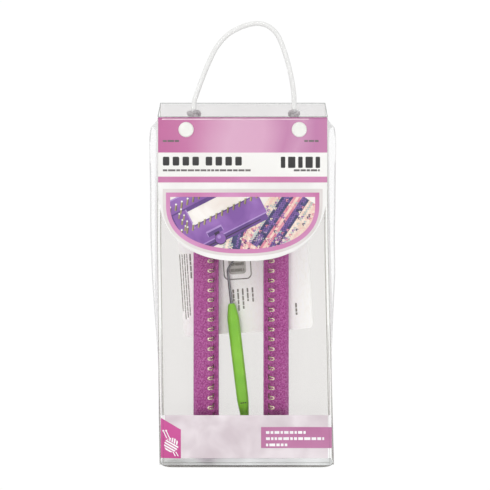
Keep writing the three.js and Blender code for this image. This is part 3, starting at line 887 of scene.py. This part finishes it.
def add_flap_marks():
    """Lines of words and marks on the flap's bands, as plain blocks."""
    black = ink("ink_black", "121212", "242222", 40.0)
    grey = ink("ink_grey", "5b5657", "77706f", 40.0)
    blocks = [(rounded_box(x, x + 5, 234.4, 241.2, 0.8, 2), 0)
              for start in (-61.5, -28.5) for x in (start + 7.6 * i for i in range(4))]
    blocks += [(rounded_box(x, x + wide, 232.6, 241.2, 0.6, 2), 0)
               for x, wide in ((29.4, 3.4), (35, 5.6), (42.8, 3.4), (48.4, 5.6), (56.2, 3.4))]
    for x, z, length, word in ((-61.5, 230.0, 68, 3.4), (-61.5, 252.6, 12.5, 3.0), (47.5, 252.6, 11.0, 3.0),
                               (39.4, 230.0, 20, 2.6)):
        blocks += [(block, 1) for block in greeked(x, z, length, 1.5, word)]
    flap_print("flap_lines", blocks, 0.12, black, grey)


def add_flap_picture():
    """A generic picture in a D-shaped frame: a corner of a peg loom, and knitted stripes beside it."""
    border = ink("picture_border", "c56b9e", "d794c4", 18.0)
    rim = ink("picture_rim", "dcd5d3", "e6e0de", 40.0)
    ground = ink("picture_ground", "eee4dc", "fbf7f2", 60.0)
    inner = superellipse(55.8, 210.2, 170.0, 2.3, 204)
    flap_print("picture_rim", [(superellipse(61.6, 216.4, 164.6, 2.4, 207), 0)], 0.05, rim)
    flap_print("picture_frame", [(superellipse(59.1, 213.6, 166.7, 2.35, 205), 0)], 0.10, border)
    flap_print("picture_field", [(inner, 0)], 0.16, ground)
    add_picture_knit(inner)
    add_picture_loom(inner)


STITCH_RISE, STITCH_WIDTH = 1.9, 2.1


def add_picture_knit(inner):
    """Rows of V stitches in stripes, on two leaning strips of knitting."""
    tints = (("cream", "e6d3bd", "fbf0e0"), ("rose", "cf6f8e", "e9a3ae"), ("navy", "2f2f58", "4a4a78"),
             ("plum", "6b4593", "8d68b0"), ("sage", "9fb5b4", "c8d3ce"), ("blush", "ecc3b8", "f6dccf"))
    inks = [ink(f"knit_{n}", a, b, 300.0, 0.6) for n, a, b in tints]
    cream, rose, navy, plum, sage, blush = range(6)
    order = (sage, cream, sage, navy, navy, plum, navy, rose, rose, cream, rose, blush, cream, blush,
             cream, sage, navy, plum, plum, navy, rose, blush, rose, plum, plum, navy, cream, sage,
             cream, blush, cream, blush)
    swatches = (((-10, 190), -14, 14, 28, 0), ((30, 222), -34, 25, 27, 12))
    for number, (start, lean, columns, rows, shift) in enumerate(swatches):
        along, back = heading(lean)
        across = -back
        grounds, legs = [], []
        for row in range(rows):
            stripe = order[(row + shift) % len(order)]
            begin = Vector(start) + along * row * STITCH_RISE
            width = columns * STITCH_WIDTH
            bar = turned_bar(begin + across * width / 2, across, width, 1.95)
            grounds.append((clip(bar, inner), {navy: navy, plum: navy, rose: rose}.get(stripe, blush)))
            for column in range(columns):
                colour = stripe if random.random() < 0.72 else random.choice((cream, rose, navy, plum, sage))
                middle = begin + across * (column + 0.5) * STITCH_WIDTH
                for tilt in (-1, 1):
                    leg = turned_bar(middle + across * tilt * 0.52, along + across * tilt * 0.6, 2.1, 0.7)
                    legs.append((clip(leg, inner), colour))
        lift = 0.19 + 0.06 * number
        layers = [printed(f"knit_layer_{lift}", patches, flap_depth, lift, inks, longest=20)
                  for patches, lift in ((grounds, lift), (legs, lift + 0.055))]
        settle(join_pieces(f"picture_knitting_{number}", layers), "flap", "printed_film")


def add_picture_loom(inner):
    """Two slotted rails with pegs, the slider between them and a ball knob, drawn slantwise."""
    tints = [ink(f"picture_{n}", a, b, 60.0) for n, a, b in (
        ("violet", "7d4f9e", "9a6cb8"), ("violet_light", "a582c4", "bb9cd2"),
        ("violet_dark", "55347a", "6a4590"), ("slot", "2a1636", "3a2148"), ("wire", "8d8158", "b3a478"),
        ("wire_dark", "4b4430", "655c42"), ("spark", "e9e6d8", "fdfbf2"))]
    violet, light, dark, slot, wire, wire_dark, spark = range(7)
    along, across = heading(27)
    def spot(a, b):
        return Vector((-38.3, 171.7)) + along * a + across * b
    patches = [(turned_bar(spot(a, b), direction, length, width), colour)
               for a, b, direction, length, width, colour in (
                   (24, 34, along, 90, 10, violet), (24, 39.4, along, 90, 1, light),
                   (20, 27.6, along, 90, 3.2, dark), (27, 6, along, 72, 15, violet),
                   (27, 13.8, along, 72, 0.9, dark), (27, -1.9, along, 72, 1, light),
                   (27, -4.6, along, 70, 4.6, dark), (25, -4.8, along, 62, 0.9, slot),
                   (2, 20, across, 16, 11, violet), (7.9, 20, across, 16, 1, light),
                   (-3.9, 20, across, 16, 1, dark), (20.6, 3.4, along, 13, 4.6, light),
                   (20.6, 2.6, along, 12, 3.4, dark))]
    lean = (0.12, 1)
    for i in range(15):
        for base in (11.5, 31):
            foot = spot(-9 + i * 5.0, base)
            patches += [(turned_bar(foot + Vector((0, 2.2)), lean, 5.4, 1.3), wire),
                        (turned_bar(foot + Vector((0.6, 2.0)), lean, 4.6, 0.5), wire_dark),
                        (disc(foot.x + 0.2, foot.y + 4.6, 0.75, 10), spark)]
    for i in range(6):
        foot = spot(3.4 if i % 2 else 0.6, 14 + i * 2.6)
        patches += [(turned_bar(foot + Vector((0, 1.6)), lean, 4, 1.2), wire),
                    (disc(foot.x + 0.1, foot.y + 3.4, 0.7, 10), spark)]
    knob = spot(21.8, -4.2)
    patches += [(turned_bar(spot(21.4, -0.4), across, 5, 4), slot), (disc(knob.x, knob.y, 4.4), slot),
                (disc(knob.x, knob.y + 0.3, 4.0), violet), (disc(knob.x - 1.1, knob.y + 1.6, 1.4, 14), light)]
    layers = []
    for order, (points, colour) in enumerate(patches):
        kept = clip(points, inner)
        if len(kept) > 2:
            lift = 0.38 + 0.004 * order
            layers.append(printed(f"layer_{order}", [(kept, colour)], flap_depth, lift, tints))
    settle(join_pieces("picture_loom", layers), "flap", "printed_film")


# ---- cord handle ----
CORD_Y = 5
HOLE_X = 40
KNOT_Z = 277.2
CORD_ROUTE = [(-40, 283), (-40, 285), (-39.7, 288), (-37.8, 294), (-34.2, 304), (-28.6, 318), (-22, 331),
              (-13.2, 341), (-2, 347.4), (9.4, 350.2), (18.6, 348.4), (26.2, 341.8), (31.2, 331), (35, 319),
              (38, 306), (39.7, 295), (40, 289), (40, 285), (40, 283)]


def add_handle():
    white = braid("cord_braid", "e8e8e5", "ffffff")
    # The knots' loops and tails take a greyer, darker braid: painted shade for knots lying in shadow under
    # the shoulder strip.
    shaded = braid("cord_braid_painted_shade", "a89fa4", "cfc8cb")
    route = smoothed([(x * MM, CORD_Y * MM, z * MM) for x, z in CORD_ROUTE], 14)
    handle = make("handle_braid", *braided(route, 2 * MM, 1.25 * MM), white)
    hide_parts("handle_cord")
    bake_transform(handle)
    for name, side in SIDES:
        middle = Vector((side * HOLE_X * MM, CORD_Y * MM, KNOT_Z * MM))
        spread = 1.4 if name == "left" else 1.1
        turns = [middle + 1.25 * MM * Vector((side * spread * (sin(t) + 1.6 * sin(2 * t)),
                                              -1.5 * sin(3 * t), cos(t) - 1.6 * cos(2 * t)))
                 for t in (2 * pi * i / 90 for i in range(90))]
        loop = tube(f"loop_{name}", turns, 1.7 * MM, shaded, sides=12, closed=True)
        neck = tube(f"neck_{name}", [middle + UP * h * MM for h in (0, 2, 4, 6, 6.9)], 1.9 * MM, white, 14)
        end = [middle + Vector((side * 1.2 * h, 0.3 * h, -h)) * MM for h in (0, 1.5, 3, 4.5)]
        tail = tube(f"tail_{name}", end, 1.6 * MM, shaded, 12)
        knot = join_pieces(f"knot_braid_{name}", [loop, neck, tail])
        settle(sharp_below(knot, 60), "shoulder", "white_cord", f"cord_knot_{name}")


def braided(route, radius, pitch):
    """A round braid: crossing strands swell the surface in a diamond pattern."""
    sides = 24
    verts = []
    travelled = 0.0
    normal = Vector((0, 1, 0))
    for i, point in enumerate(route):
        if i:
            travelled += (point - route[i - 1]).length
        along = (route[min(i + 1, len(route) - 1)] - route[max(i - 1, 0)]).normalized()
        phase = travelled / pitch * 2
        verts += ring(point, lambda a: radius * (0.96 + 0.035 * cos(4 * a + phase) * cos(4 * a - phase)),
                      normal, along.cross(normal).normalized(), sides)
    return verts, ring_faces(len(route), sides)


# ---- loom ----
PEG_PITCH, PEG_REACH, PEG_ROOT = 7.62, 12.0, -0.6
PEG_GAP, PEG_WIRE = 0.95, 0.55


def hairpin(place, outwards, along):
    """One wire peg: two legs standing forward, joined by a round head bent outwards."""
    knee = PEG_REACH - 3.2
    leg = [(-PEG_GAP, PEG_ROOT, 0), (-PEG_GAP, knee * 0.5, 0), (-PEG_GAP, knee, 0),
           (-PEG_GAP, knee + 0.9, 0.25), (-PEG_GAP * 1.05, PEG_REACH - 0.9, 1.5),
           (-PEG_GAP, PEG_REACH - 0.1, 2.6)]
    angles = [pi * t / 6 - pi / 2 for t in range(1, 6)]
    tip = [(PEG_GAP * sin(a), PEG_REACH + 0.35 * cos(a), 2.9 + 0.8 * cos(a)) for a in angles]
    path = leg + tip + [(-a, b, c) for a, b, c in leg[::-1]]
    points = [place + (along * a + OUT_FRONT * b + outwards * c) * MM for a, b, c in path]
    return sweep(points, PEG_WIRE * MM, 7)


def peg_strip(name, body, source, wires, plastic, count, along, outwards):
    """A row of hairpins, placed by the CAD row's box, with the low moulded ridge they stand in."""
    low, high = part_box(source)
    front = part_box("loom_long_side_left")[0].y / MM + 0.8
    root = (low + high) / 2
    root.y = front * MM
    axis = 0 if outwards.x else 2
    root[axis] = (low if outwards[axis] > 0 else high)[axis] + outwards[axis] * MM
    verts, faces = [], []
    for i in range(count):
        place = root + along * (i - (count - 1) / 2) * PEG_PITCH * MM
        new_verts, new_faces = hairpin(place, outwards, along)
        faces += [tuple(index + len(verts) for index in face) for face in new_faces]
        verts += new_verts
    pegs = make(f"{name}_wires", verts, faces, *wires)
    # Wire more than 2 mm back from a peg's head takes the dark metal: painted shade on the legs down to the
    # ridge. The head keeps the pale wire colour, which is partly the wire's own colour and partly a painted
    # highlight.
    for polygon in pegs.data.polygons:
        polygon.material_index = int(polygon.center.y > (front - PEG_REACH + 2.0) * MM)
    ridge = ridge_bar(f"{name}_ridge", root, along, outwards, (high - low).dot(along) / 2, plastic)
    return settle(sharp_below(join_pieces(name, [pegs, ridge]), 60), body, "peg_wire", source)


def ridge_bar(name, root, along, outwards, half, material):
    """The strip that fills the pegs' bed: a low bar with eased edges, flush with the face round it."""
    section = [(-1.32, 1.7), (-1.32, -0.02), (-1.1, -0.16), (1.1, -0.16), (1.32, -0.02), (1.32, 1.7)]
    verts = [root + along * end * half + (outwards * a - OUT_FRONT * b) * MM
             for end in (-1, 1) for a, b in section]
    return make(name, verts, ring_faces(2, len(section)), material, smooth=False)


def add_loom():
    purple = glitter_plastic("loom_purple", "84306f", "ab4794", "cf7cbd")
    inside = glitter_plastic("loom_purple_deep", "5e2052", "802e6e", "9c4a8a")
    # The second wire metal is painted shade for the pegs' legs. The first, pale one is partly a painted
    # highlight on the heads.
    wires = metal("peg_wire", "c9b78f", "fff8e6", 0.25), metal("peg_wire_painted_shade", "5a4630", "8a7453", 0.35)
    steel = metal("screw_steel", "8b8c90", "c8c9cc", 0.3)
    brass = metal("brass", "8f7436", "cdb067", 0.3)
    violet = moulded("knob_violet", "5b3488", "7443a6", "8e60bd", 0.25)
    def moulding(source, name, body, material=purple, slot="purple_plastic", bevel=0.35, segments=2):
        settle(soft_clone(source, name, material, bevel, segments), body, slot, source)
    for name, side in SIDES:
        moulding(f"loom_long_side_{name}", f"long_side_{name}", "loom")
        peg_strip(f"pegs_{name}", "loom", f"peg_row_{name}", wires, purple, 24, UP, RIGHT * side)
    for end in ("bottom", "top"):
        moulding(f"loom_short_side_{end}", f"short_side_{end}", "loom")
        for name, side in SIDES:
            add_screw(f"end_screw_{end}_{name}", side, steel)
    moulding("slider_bar", "slider_body", "slider", bevel=0.3)
    peg_strip("slider_pegs_up", "slider", "slider_pegs_upper", wires, purple, 4, RIGHT, UP)
    peg_strip("slider_pegs_down", "slider", "slider_pegs_lower", wires, purple, 4, RIGHT, -UP)
    for name, side in SIDES:
        moulding(f"clamp_plate_{name}", f"clamp_{name}", "slider", inside, bevel=0.3)
        moulding(f"thread_insert_{name}", f"insert_{name}", "slider", brass, "brass", 0.1, 1)
        add_knob(name, side, violet, steel)


def add_screw(source, side, steel):
    """A countersunk cross-head screw seen in the end of its hole."""
    low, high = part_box(source)
    centre = (low + high) / 2
    place = Vector((high.x if side > 0 else low.x, centre.y, centre.z))
    length = (high.x - low.x) / MM
    profile = [(0, -length), (1.0, -length), (1.4, 1 - length)]
    for i in range(18):
        height = 1.5 - length + i * 0.9
        profile += [(1.25, height), (1.5, height + 0.3)]
    profile += [(1.5, -2.2), (2.9, -1.6), (2.9, -0.4), (2.6, -0.1), (1.6, -0.1), (1.3, -0.8), (0, -0.8)]
    profile = [p for i, p in enumerate(profile) if i == 0 or p[1] >= profile[i - 1][1] - 0.8]
    screw = lathe(f"{source}_turned", profile, place, RIGHT * side, steel, 24)
    settle(sharp_below(screw, 40), "loom", "steel", source)


KNOB_RADIUS, KNOB_CENTRE = 5.2, 8.2
THREAD_PITCH = 0.7


def add_knob(name, side, violet, steel):
    """A ball knob with finger flutes on a collar, and its threaded stud."""
    low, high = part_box(f"knob_{name}")
    axis = RIGHT * side
    face = low.x if side > 0 else high.x
    place = Vector((face, (low.y + high.y) / 2, (low.z + high.z) / 2))
    profile = [(0, 0.1), (2.1, 0.1), (3.0, 0), (3.25, 0.4), (3.2, 2.2), (2.9, 3.0)]
    for i in range(1, 15):
        angle = -0.98 + (pi / 2 + 0.98) * i / 14
        profile.append((KNOB_RADIUS * cos(angle), KNOB_CENTRE + KNOB_RADIUS * sin(angle)))
    profile[-1] = (0, profile[-1][1])
    def flutes(angle, height):
        deep = 0.07 * min(1, max(0.0, (height - 3.5) / 2)) * min(1, max(0.0, (12.6 - height) / 1.5))
        return 1 - deep * max(0.0, cos(8 * angle)) ** 2
    knob = lathe(f"ball_knob_{name}", profile, place, axis, violet, 48, flutes)
    settle(sharp_below(knob, 45), f"{name}_knob", "knob_plastic", f"knob_{name}")
    low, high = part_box(f"knob_stud_{name}")
    inner = low.x if side > 0 else high.x
    reach = abs(face - inner) / MM
    profile = [(0, 0), (1.3, 0), (1.8, 0.5)]
    for i in range(int(reach / THREAD_PITCH)):
        profile += [(1.5, 0.9 + i * THREAD_PITCH), (1.8, 1.2 + i * THREAD_PITCH)]
    profile += [(1.8, reach + 0.05), (0, reach + 0.05)]
    stud = lathe(f"stud_{name}", profile, Vector((inner, place.y, place.z)), axis, steel, 20)
    settle(sharp_below(stud, 50), f"{name}_knob", "steel", f"knob_stud_{name}")


# ---- hook ----
HOOK_TILT = radians(6.7)
HOOK_FOOT = Vector((2.2, 10.9, 21.4))
HOOK_GRIP = 105.4
HOOK_OVAL = 1.12
HOOK_SHAFT = 27.8
GRIP_WIDTHS = [(0, 0.6), (0.3, 1.8), (1.6, 2.5), (8, 2.9), (18, 3.5), (23, 4.1), (28, 4.45), (46, 4.55),
               (67, 4.6), (90, 4.6), (95, 4.4), (98.5, 3.8), (101.5, 3.2), (104, 2.8), (105.2, 2.2)]


def add_hook():
    lime = moulded("hook_lime", "7cc42c", "88cd34", "94d640", 0.36, 40.0)
    steel = metal("hook_steel", "77787c", "8f9095", 0.25, (1, 1, 0.1))
    along = Vector((-sin(HOOK_TILT), 0, cos(HOOK_TILT)))
    across = Vector((cos(HOOK_TILT), 0, sin(HOOK_TILT)))
    def spot(h, a=0.0):
        return (HOOK_FOOT + along * h + across * a) * MM
    steps, sides = 64, 32
    verts = []
    for i in range(steps + 1):
        h = HOOK_GRIP * (0.5 - 0.5 * cos(pi * i / steps))
        radius = between(GRIP_WIDTHS, h)
        flat = 0.045 * min(1, radius / 4)
        verts += ring(spot(h), lambda a: radius * (1 - flat * cos(4 * a)) * MM, across * HOOK_OVAL,
                      Vector((0, 0.97, 0)), sides)
    grip = make("hook_handle", verts, ring_faces(steps + 1, sides), lime)
    smooth = grip.modifiers.new("smooth", "SUBSURF")
    smooth.levels = smooth.render_levels = 1
    settle(bake_modifiers(grip), "hook", "lime_plastic", "hook_grip")
    mark = ink("hook_mark", "1c2a10", "2a3a18", 40.0)
    places = [spot(25.5, 0.3 + 1.7 * i) / MM for i in (-1, 0, 1)]
    blocks = [(rounded_box(p.x - 0.6, p.x + 0.6, p.z - 0.5, p.z + 0.5, 0.3, 2), 0) for p in places]
    size_mark = printed("hook_size_mark", blocks, lambda x, z: HOOK_FOOT.y - 4.3, 0.08, [mark])
    settle(size_mark, "hook", "lime_plastic")

    bend = radians(42)
    turn = along * cos(bend) + across * sin(bend)
    tip_normal = across * cos(bend) - along * sin(bend)
    knee = spot(HOOK_GRIP + HOOK_SHAFT)
    straight = [spot(HOOK_GRIP - 8 + (HOOK_SHAFT + 5.5) * i / 12) for i in range(13)]
    corner = [knee + (turn * t ** 2 - along * (1 - t) ** 2) * 2.5 * MM for t in (0.15, 0.35, 0.5, 0.65, 0.85)]
    crook = [knee + turn * (2.5 + 9.6 * i / 10) * MM for i in range(11)]
    barb = [knee + (turn * (12.1 + 1.4 * sin(a)) + tip_normal * (1.0 - cos(a))) * MM
            for a in (radians(d) for d in (35, 70, 105, 140, 170))]
    shaft = tube("hook_needle", straight + corner + crook + barb,
                 lambda t: (1.35 - 0.75 * min(1, t * 1.4)) * MM, steel, 14)
    settle(sharp_below(shaft, 60), "hook", "steel", "hook_shaft")


# ---- leaflet ----
LEAFLET_TILT = radians(3.7)
LEAFLET_FOOT = Vector((3.9, 0, 103))
LEAFLET_TALL = 148
LEAFLET_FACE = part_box("leaflet")[0].y / MM
PAGES = ((-52.5, 52.5, 0), (-52.3, 51.8, -0.8), (-52.5, 52.4, 0.6), (-52.4, 52.0, -0.4))


def leaf_point(x, z):
    """From the sheet's own width and height, mm, to X and Z."""
    c, s = cos(LEAFLET_TILT), sin(LEAFLET_TILT)
    return LEAFLET_FOOT.x + c * x - s * z, LEAFLET_FOOT.z + s * x + c * z


def leaf_depth(x, z):
    return LEAFLET_FACE + 0.05 + 0.1 * sin(x * 0.06) * sin(z * 0.05)


def leaf_box(*edges):
    return [leaf_point(x, z) for x, z in rounded_box(*edges)]


def add_leaflet():
    # The paper glows a little (Emission Strength 0.09): painted light standing in for light coming through
    # the thin sheet from behind.
    paper_with_painted_glow, _ = mottled("leaflet_paper", [(0.3, "f6f5f4"), (0.7, "ffffff")], 0.75,
                       dict(Scale=700.0, Detail=4.0), (0.15, 0.05), (1, 1, 0.4), Emission_Strength=0.09)
    pages = [printed(f"page_{i}", [(leaf_box(left, right, bottom, LEAFLET_TALL + bottom, 3), 0)],
                     leaf_depth, -0.14 - 0.26 * i, [paper_with_painted_glow], thick=0.14, longest=9)
             for i, (left, right, bottom) in enumerate(PAGES)]
    settle(join_pieces("leaflet_pages", pages), "leaflet", "leaflet_paper", "leaflet")
    add_leaflet_lines()


def add_leaflet_lines():
    """Columns of small print running down the sheet, and a plain line drawing of a tray."""
    grey = ink("leaflet_ink", "77756f", "8f8d86", 60.0, 0.7)
    pale = ink("leaflet_ink_pale", "b3b2ad", "c6c5c0", 60.0, 0.7)
    columns = [(-44.4, 66, 20, 1.3)]
    columns += [(-46.8 - 1.9 * i, 66, length, 0.7) for i, length in enumerate((50, 52, 53, 46))]
    columns += [(x, 35.5 - 0.2 * i, length, 1.3) for i, (x, length) in enumerate(
        ((4.5, 11.5), (0.4, 10.7), (-3.5, 16.5), (-7.4, 17.6), (-11.1, 9.5)))]
    columns.append((39.0, 20.5, 11, 1.4))
    patches = [([leaf_point(x + b, top - a) for a, b in block][::-1], 0)
               for x, top, length, width in columns for block in greeked(0, 0, length, width, 3.2)]
    outer = [Vector(p) for p in leaf_box(-17, 5, 43, 74, 4)]
    patches += [(turned_bar((a + b) / 2, b - a, (b - a).length + 0.7, 0.9), 0)
                for a, b in zip(outer, outer[1:] + outer[:1])]
    patches.append((leaf_box(-13, 1, 47, 70, 3), 1))
    patches += [(leaf_box(-11.5, -0.5, 49 + 5 * i, 51.5 + 5 * i, 0.6), 0) for i in range(4)]
    lines = printed("leaflet_lines", patches, leaf_depth, 0.05, [grey, pale], thick=0.03, longest=9)
    settle(lines, "leaflet", "leaflet_paper")


make_camera()
add_handle()
make_stage()
add_pouch()
add_band()
add_shoulder()
add_flap()
add_loom()
add_hook()
add_leaflet()
